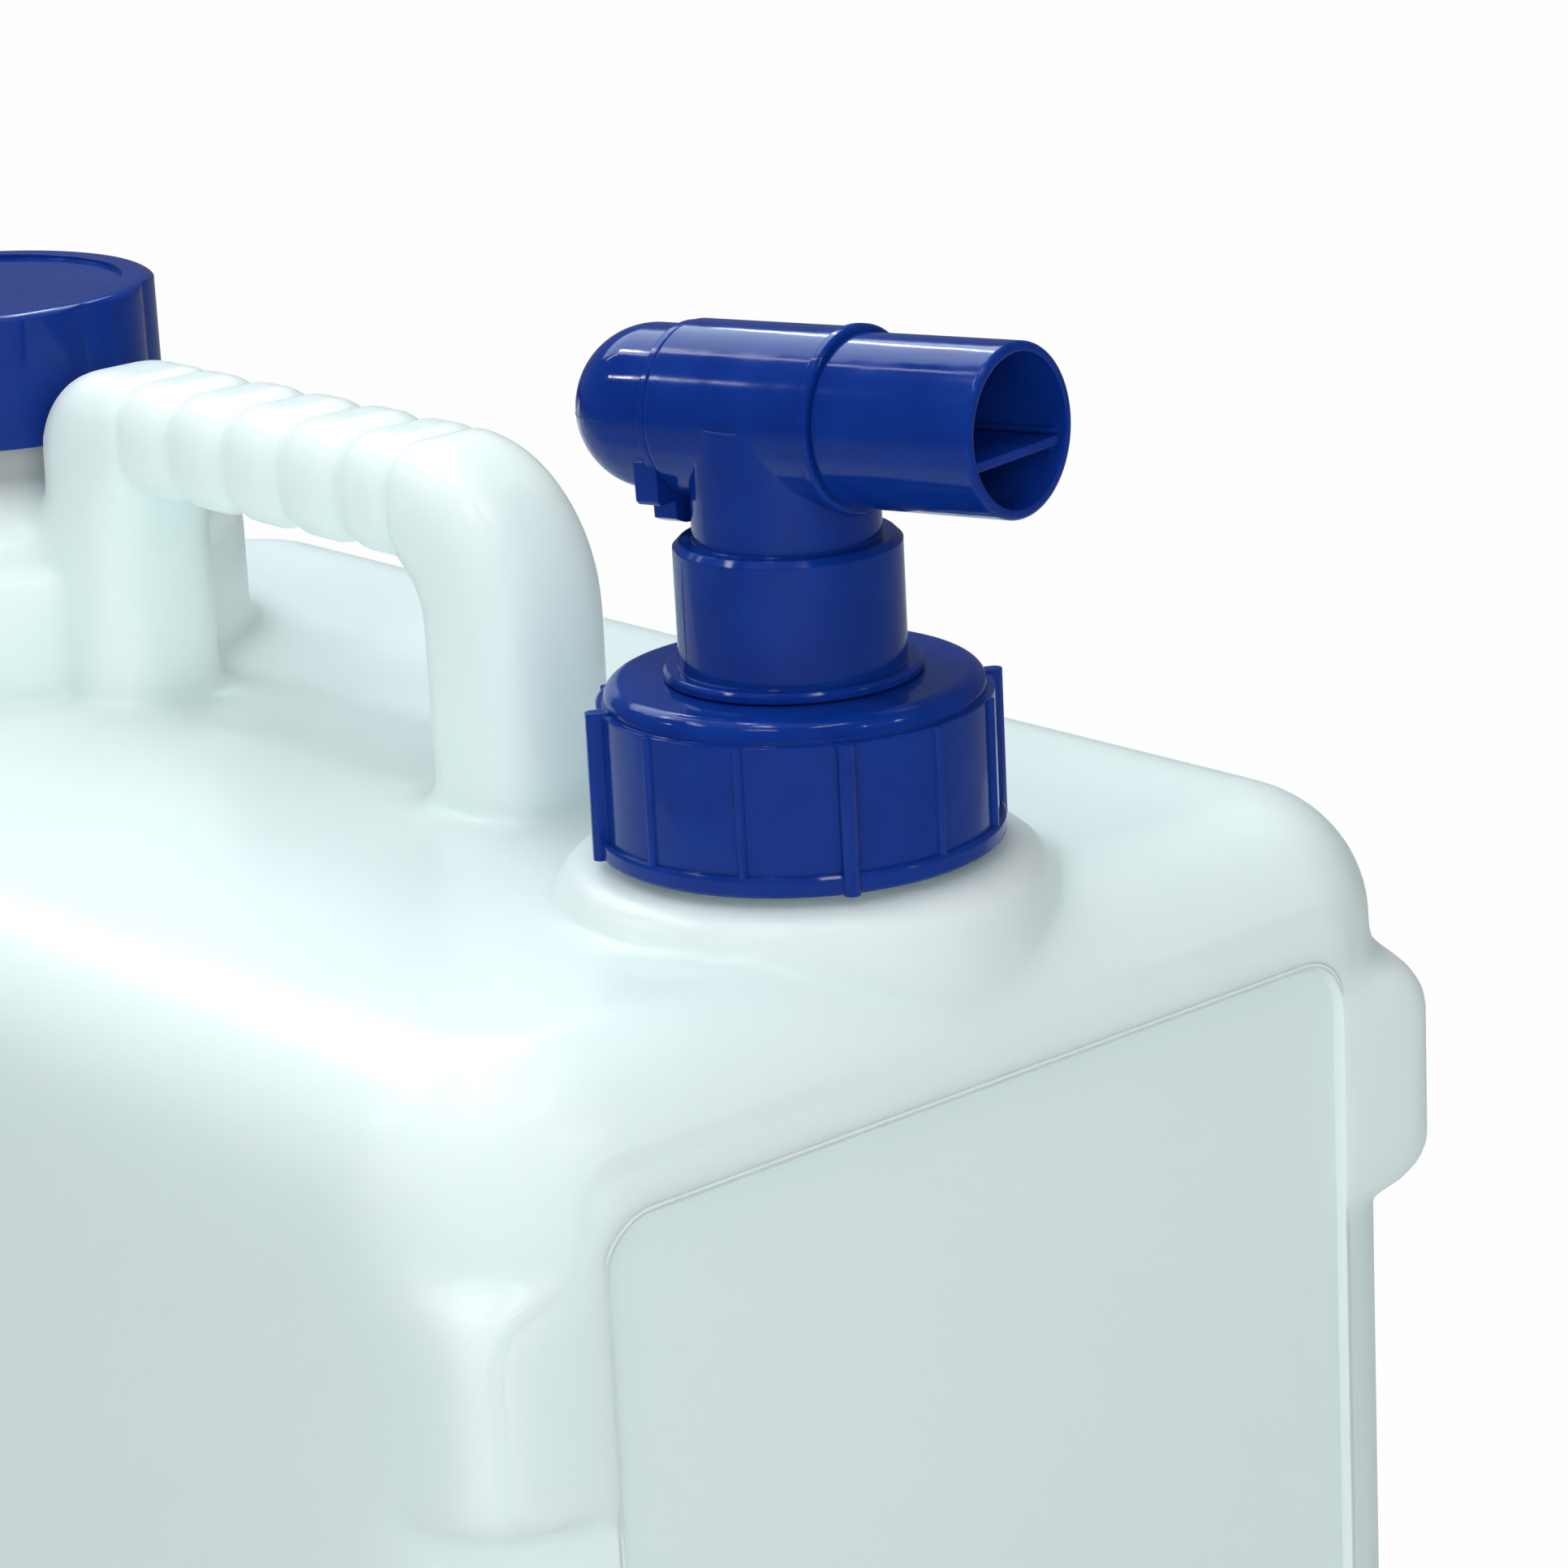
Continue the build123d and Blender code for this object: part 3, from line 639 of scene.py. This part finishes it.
cutters = [bore_cutter(tap_x, TAP_BORE, TAP_BORE_FLOOR, ABOVE_NECKS),
           bore_cutter(fill_x, FILL_BORE, FILL_BORE_FLOOR, ABOVE_NECKS)]
print("bores of radius", TAP_BORE, "and", FILL_BORE, "m")

# %% Cutters for the panels
ARC_POINTS = 9
PAST_THE_END = 0.005


def panel_outline(grow):
    """The panel's rounded outline, grown outwards, as (y, z) points."""
    across, middle = PANEL_HALF_WIDTH - PANEL_CORNER, (PANEL_LOW + PANEL_HIGH) / 2
    upward = (PANEL_HIGH - PANEL_LOW) / 2 - PANEL_CORNER
    points = []
    for quarter, (y_sign, z_sign) in enumerate(((1, 1), (-1, 1), (-1, -1), (1, -1))):
        for step in range(ARC_POINTS):
            turn = math.radians(90 * quarter + 90 * step / (ARC_POINTS - 1))
            points.append((y_sign * across + (PANEL_CORNER + grow) * math.cos(turn),
                           middle + z_sign * upward + (PANEL_CORNER + grow) * math.sin(turn)))
    return points


def panel_cutter(side):
    """A flared block with rounded corners, whose small end is the floor of the panel."""
    form = bmesh.new()
    rings = []
    for x, grow in ((tank_high.x - PANEL_DEPTH, 0.0),
                    (tank_high.x + PAST_THE_END, (PANEL_DEPTH + PAST_THE_END) * PANEL_SLOPE)):
        rings.append([form.verts.new((side * x, y, z)) for y, z in panel_outline(grow)])
    for i in range(len(rings[0])):
        j = (i + 1) % len(rings[0])
        form.faces.new((rings[0][i], rings[0][j], rings[1][j], rings[1][i]))
    form.faces.new(rings[0])
    form.faces.new(rings[1])
    bmesh.ops.recalc_face_normals(form, faces=form.faces)
    return helper_object("panel_cutter", form)


cutters += [panel_cutter(side) for side in (-1, 1)]
print("a panel's outline has", len(panel_outline(0.0)), "points")

# %% Cut both bores and both panels
for cutter in cutters:
    cut = skin.modifiers.new("bore", "BOOLEAN")
    cut.operation, cut.object, cut.solver = "DIFFERENCE", cutter, "EXACT"
    finish_modifiers(skin)
    bpy.data.objects.remove(cutter)
print("after", len(cutters), "cuts:", len(skin.data.polygons), "faces")

# %% [markdown]
# ### Crisp borders on a smooth skin
# A smooth-shaded mesh smears light across every fold, so the folds of the border are marked sharp. Light also
# wanders so far in the milky plastic that a fine edge drowns in it. The narrow slope wears a second milky
# finish in which light stays close, and so the border shows.

# %% Mark the borders and place the tank
FOLD = 0.17  # radians
SLOPE_LEANS = (0.2, 0.97)  # how much a sloping face looks along the tank, from 0 to 1


def in_border(vert):
    """Whether a vertex lies between a panel's floor and the end face around it."""
    return tank_high.x - PANEL_DEPTH - SLACK < abs(vert.co.x) < tank_high.x + SLACK


tank_mesh = skin.data
tank_mesh.materials.clear()
tank_mesh.materials.append(milky)
tank_mesh.materials.append(milky_edge)
marks = bmesh.new()
marks.from_mesh(tank_mesh)
for edge in marks.edges:
    if all(in_border(v) for v in edge.verts) and len(edge.link_faces) == 2 and edge.calc_face_angle() > FOLD:
        edge.smooth = False
for face in marks.faces:
    on_slope = all(in_border(v) for v in face.verts) and SLOPE_LEANS[0] < abs(face.normal.x) < SLOPE_LEANS[1]
    face.material_index = 1 if on_slope else 0
marks.to_mesh(tank_mesh)
marks.free()
bpy.data.objects.remove(skin)
blown_tank = new_piece("blown_tank", tank_mesh, "tank")
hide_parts("tank_body")

# %% [markdown]
# ## Screw threads
# Both necks carry a raised right-hand thread, seen when a cap is unscrewed. It could be cut as a solid, but a
# thread is a profile swept along a spiral, which is what Geometry Nodes do in three steps: a spiral curve, a
# round profile, and Curve to Mesh. A scale that falls to nothing at both ends gives the thread its run-in, as
# a moulder would cut it.

# %% Helpers for node trees
def node_group(name, sockets):
    """A Geometry Nodes tree with the given inputs; returns the tree, its input node and its output node."""
    tree = bpy.data.node_groups.new(name, "GeometryNodeTree")
    tree.interface.new_socket("Geometry", in_out="OUTPUT", socket_type="NodeSocketGeometry")
    tree.interface.new_socket("Geometry", in_out="INPUT", socket_type="NodeSocketGeometry")
    for label, kind in sockets:
        tree.interface.new_socket(label, in_out="INPUT", socket_type="NodeSocket" + kind)
    return tree, tree.nodes.new("NodeGroupInput"), tree.nodes.new("NodeGroupOutput")


def end_with_material(tree, geometry, group_in, group_out):
    """Every tree closes the same way: plain geometry, smooth, with its material."""
    real = tree.nodes.new("GeometryNodeRealizeInstances")
    smooth = tree.nodes.new("GeometryNodeSetShadeSmooth")
    paint = tree.nodes.new("GeometryNodeSetMaterial")
    tree.links.new(geometry, real.inputs["Geometry"])
    tree.links.new(real.outputs["Geometry"], smooth.inputs["Geometry"])
    tree.links.new(smooth.outputs["Geometry"], paint.inputs["Geometry"])
    tree.links.new(group_in.outputs["Finish"], paint.inputs["Material"])
    tree.links.new(paint.outputs["Geometry"], group_out.inputs["Geometry"])


def math_node(tree, operation, first, second):
    """One step of arithmetic on numbers or sockets."""
    node = tree.nodes.new("ShaderNodeMath")
    node.operation = operation
    for socket, value in zip(node.inputs, (first, second)):
        if isinstance(value, (int, float)):
            socket.default_value = value
        else:
            tree.links.new(value, socket)
    return node.outputs[0]


def grown(tree, values, source=None):
    """Runs a tree with its inputs set and gives back a plain mesh."""
    holder = source or bpy.data.objects.new("holder", bpy.data.meshes.new("holder"))
    bpy.context.collection.objects.link(holder)
    modifier = holder.modifiers.new(tree.name, "NODES")
    modifier.node_group = tree
    for item in tree.interface.items_tree:
        if item.in_out == "INPUT" and item.name in values:
            modifier[item.identifier] = values[item.name]
    mesh = settled(holder)
    bpy.data.objects.remove(holder)
    return mesh


def moved(mesh, matrix):
    mesh.transform(matrix)
    mesh.update()
    return mesh


print("helpers for node trees are ready")

# %% A node tree that sweeps a thread
THREAD_PITCH = 0.006
STEPS_PER_TURN = 64
THREAD_SIDES = 10
RUN_IN = 22.0  # the thread is at full height after one part in this many of its length
THINNEST = 0.08


def thread_tree():
    tree, start, end = node_group("screw_thread", (
        ("Radius", "Float"), ("Turns", "Float"), ("Rise", "Float"), ("Ridge", "Float"), ("Finish", "Material")))
    spiral = tree.nodes.new("GeometryNodeCurveSpiral")
    spiral.inputs["Resolution"].default_value = STEPS_PER_TURN
    profile = tree.nodes.new("GeometryNodeCurvePrimitiveCircle")
    profile.inputs["Resolution"].default_value = THREAD_SIDES
    sweep = tree.nodes.new("GeometryNodeCurveToMesh")
    sweep.inputs["Fill Caps"].default_value = True
    along = tree.nodes.new("GeometryNodeSplineParameter")
    tree.links.new(start.outputs["Turns"], spiral.inputs["Rotations"])
    tree.links.new(start.outputs["Radius"], spiral.inputs["Start Radius"])
    tree.links.new(start.outputs["Radius"], spiral.inputs["End Radius"])
    tree.links.new(start.outputs["Rise"], spiral.inputs["Height"])
    tree.links.new(start.outputs["Ridge"], profile.inputs["Radius"])
    run_in = math_node(tree, "MULTIPLY", along.outputs["Factor"], RUN_IN)
    left = math_node(tree, "SUBTRACT", 1.0, along.outputs["Factor"])
    run_out = math_node(tree, "MULTIPLY", left, RUN_IN)
    shorter = math_node(tree, "MINIMUM", run_in, run_out)
    scale = math_node(tree, "MAXIMUM", math_node(tree, "MINIMUM", shorter, 1.0), THINNEST)
    tree.links.new(spiral.outputs["Curve"], sweep.inputs["Curve"])
    tree.links.new(profile.outputs["Curve"], sweep.inputs["Profile Curve"])
    tree.links.new(scale, sweep.inputs["Scale"])
    end_with_material(tree, sweep.outputs["Mesh"], start, end)
    return tree


thread = thread_tree()
print("thread tree:", len(thread.nodes), "nodes")

# %% The threads of both necks
for name, x, radius, foot, rise, ridge in (
        ("fill_neck_thread", fill_x, 0.0330, 0.3035, 0.0160, 0.0014),
        ("tap_neck_thread", tap_x, 0.0296, 0.2610, 0.0165, 0.0012)):
    mesh = grown(thread, {"Radius": radius, "Turns": rise / THREAD_PITCH, "Rise": rise, "Ridge": ridge,
                          "Finish": milky})
    moved(mesh, Matrix.Translation((x, 0, foot)))
    new_piece(name, mesh, "tank")

# %% [markdown]
# ## Mould lines
# A moulded part shows where its mould opened: a hair-thin raised line. Here they lie round the end cap's
# dome and up both sides of the tap's stub. Each is a path with a fine profile swept along it. A bevelled
# curve could do that too, but a small tree with a taper lets every line fade out at its ends.

# %% A node tree that sweeps a fine line along any path
LINE_SIDES = 6
LINE_THINNEST = 0.1


def line_tree():
    tree, start, end = node_group("mould_line", (
        ("Thickness", "Float"), ("Taper", "Float"), ("Finish", "Material")))
    profile = tree.nodes.new("GeometryNodeCurvePrimitiveCircle")
    profile.inputs["Resolution"].default_value = LINE_SIDES
    sweep = tree.nodes.new("GeometryNodeCurveToMesh")
    sweep.inputs["Fill Caps"].default_value = True
    along = tree.nodes.new("GeometryNodeSplineParameter")
    left = math_node(tree, "SUBTRACT", 1.0, along.outputs["Factor"])
    nearest = math_node(tree, "MINIMUM", along.outputs["Factor"], left)
    growing = math_node(tree, "MULTIPLY", nearest, start.outputs["Taper"])
    scale = math_node(tree, "MAXIMUM", math_node(tree, "MINIMUM", growing, 1.0), LINE_THINNEST)
    tree.links.new(start.outputs["Thickness"], profile.inputs["Radius"])
    tree.links.new(start.outputs["Geometry"], sweep.inputs["Curve"])
    tree.links.new(profile.outputs["Curve"], sweep.inputs["Profile Curve"])
    tree.links.new(scale, sweep.inputs["Scale"])
    end_with_material(tree, sweep.outputs["Mesh"], start, end)
    return tree


mould_line = line_tree()
print("line tree:", len(mould_line.nodes), "nodes")

# %% A helper that makes one piece of several lines
SLOW_TAPER, NO_TAPER = 6.0, 2000.0


def raised_line(name, paths, thickness, body, finish, taper=SLOW_TAPER):
    """One piece made of fine lines along several paths of points; thickness is the profile's radius."""
    curve = bpy.data.curves.new(name, "CURVE")
    curve.dimensions = "3D"
    for path in paths:
        spline = curve.splines.new("POLY")
        spline.points.add(len(path) - 1)
        for point, place in zip(spline.points, path):
            point.co = (*place, 1)
    mesh = grown(mould_line, {"Thickness": thickness, "Taper": taper, "Finish": finish},
                 bpy.data.objects.new(name, curve))
    return new_piece(name, mesh, body)


print("a line fades out over a sixth of its length, if nothing else is said")

# %% The barrel's own frame, from the valve joint
valve = next(j for j in frame["record"]["behaviour"]["joints"] if j["name"] == "tap_valve")
barrel_way = -Vector(valve["axis"]).normalized()
barrel_side = Vector((0, 0, 1)).cross(barrel_way).normalized()
barrel_up = barrel_way.cross(barrel_side)
barrel_centre = Vector(valve["pos_m"])


def in_barrel(along, side, up):
    """A place in metres, from millimetres along, beside and above the barrel's centre."""
    return barrel_centre + (barrel_way * along + barrel_side * side + barrel_up * up) * MM


print("the barrel points along", tuple(round(v, 3) for v in barrel_way))

# %% The line round the dome
DOME_LINE_RADIUS, DOME_LINE_START, DOME_CENTRE = 14.56, -20.4, -27.2  # millimetres
DOME_LINE_THICKNESS = 0.00013
DOME_STEPS = 40


def half_ring(radius, start, middle):
    """A path round the dome: along one flank, over the tip and back along the other."""
    path = [(start, -radius)]
    for step in range(DOME_STEPS + 1):
        turn = -math.pi / 2 + math.pi * step / DOME_STEPS
        path.append((middle - radius * math.cos(turn), radius * math.sin(turn)))
    path.append((start, radius))
    return path


dome_path = [in_barrel(a, b, 0) for a, b in half_ring(DOME_LINE_RADIUS, DOME_LINE_START, DOME_CENTRE)]
raised_line("dome_mould_line", [dome_path], DOME_LINE_THICKNESS, "spigot", blue)

# %% The lines up both sides of the stub
STUB_LOW, STUB_HIGH, STUB_RADIUS = 0.0322, 0.0536, 0.01996
STUB_LINES_AT, STUB_LINE_THICKNESS = (62, 242), 0.00014  # degrees round the stub; metres
STUB_STEPS = 8
swivel = Matrix.Rotation(math.atan2(barrel_way.y, barrel_way.x), 4, "Z")
stub_paths = []
for turn in STUB_LINES_AT:
    away = swivel @ Vector((math.cos(math.radians(turn)), math.sin(math.radians(turn)), 0)) * STUB_RADIUS
    stub_paths.append([nut_foot + away + Vector((0, 0, STUB_LOW + (STUB_HIGH - STUB_LOW) * i / STUB_STEPS))
                       for i in range(STUB_STEPS + 1)])
raised_line("stub_mould_lines", stub_paths, STUB_LINE_THICKNESS, "tap", blue)

# %% [markdown]
# ## Beads and seam
# A fine bead runs round each panel, where the mould's panel insert met the rest of the mould. Where the ends
# turn into the rounded corners, the bead turns with them. Across the base lies the seam where the bubble was
# pinched shut. Both are lines too, so the same tree makes them.

# %% The beads round both panels
BEAD_OFFSET, BEAD_SUNK, BEAD_THICKNESS = 0.0006, 0.0003, 0.00055


def on_end_face(y):
    """How far out an end face lies at a place across the tank, less what the bead is sunk into it."""
    past_flat = max(0.0, abs(y) - CORNER_Y)
    fall = CORNER_RADIUS - math.sqrt(CORNER_RADIUS ** 2 - past_flat ** 2)
    return tank_high.x - BEAD_SUNK - max(0.0, fall)


outline = panel_outline(PANEL_DEPTH * PANEL_SLOPE + BEAD_OFFSET)
after_middle = 3 * ARC_POINTS
left_end, right_end = outline[after_middle - 1], outline[after_middle]
low_middle = ((left_end[0] + right_end[0]) / 2, left_end[1])
ring = [low_middle] + outline[after_middle:] + outline[:after_middle] + [low_middle]
bead_paths = [[(side * on_end_face(y), y, z) for y, z in ring] for side in (-1, 1)]
raised_line("panel_beads", bead_paths, BEAD_THICKNESS, "tank", milky_edge, taper=NO_TAPER)

# %% The pinched seam of the base
SEAM_INSET, SEAM_HEIGHT, SEAM_THICKNESS, SEAM_STEPS = 0.022, 0.0003, 0.0003, 40
seam_length = tank_high.x - tank_low.x - 2 * SEAM_INSET
seam = [(tank_low.x + SEAM_INSET + seam_length * i / SEAM_STEPS, 0, SEAM_HEIGHT) for i in range(SEAM_STEPS + 1)]
raised_line("base_pinch_seam", [seam], SEAM_THICKNESS, "tank", milky)

# %% [markdown]
# ## The gate mark
# Hot plastic entered the dome's mould at its tip, and a small broken-off nub is left there. It is round, so
# a few radii and heights, turned as on a lathe, give it with no modelling by hand.

# %% The gate mark on the dome's tip
LATHE_SEGMENTS = 24
DOME_TIP = -41.75  # millimetres along the barrel
NUB_OUTLINE = ((0, -0.0006), (0.0013, -0.0006), (0.0011, 0.0001), (0.0006, 0.0004),
               (0.0004, 0.0009), (0.00018, 0.0012), (0, 0.0012))


def lathe_ring(form, radius, height):
    """One ring of vertices, or a single one on the axis."""
    if not radius:
        return [form.verts.new((0, 0, height))]
    turns = [2 * math.pi * i / LATHE_SEGMENTS for i in range(LATHE_SEGMENTS)]
    return [form.verts.new((radius * math.cos(turn), radius * math.sin(turn), height)) for turn in turns]


def turned_form(name, outline, matrix, body, finish):
    """A small lathe-turned form from (radius, height) pairs in metres."""
    form = bmesh.new()
    rings = [lathe_ring(form, radius, height) for radius, height in outline]
    for low, high in zip(rings, rings[1:]):
        for i in range(LATHE_SEGMENTS):
            j = (i + 1) % LATHE_SEGMENTS
            corners = [low[i % len(low)], low[j % len(low)], high[j % len(high)], high[i % len(high)]]
            form.faces.new(list(dict.fromkeys(corners)))
    bmesh.ops.recalc_face_normals(form, faces=form.faces)
    mesh = bpy.data.meshes.new(name)
    form.to_mesh(mesh)
    form.free()
    return new_piece(name, moved(mesh, matrix), body, finish)


tip_turn = (-barrel_way).to_track_quat("Z", "Y").to_matrix().to_4x4()
turned_form("dome_gate_mark", NUB_OUTLINE, Matrix.Translation(in_barrel(DOME_TIP, 0, 0)) @ tip_turn,
            "spigot", blue)
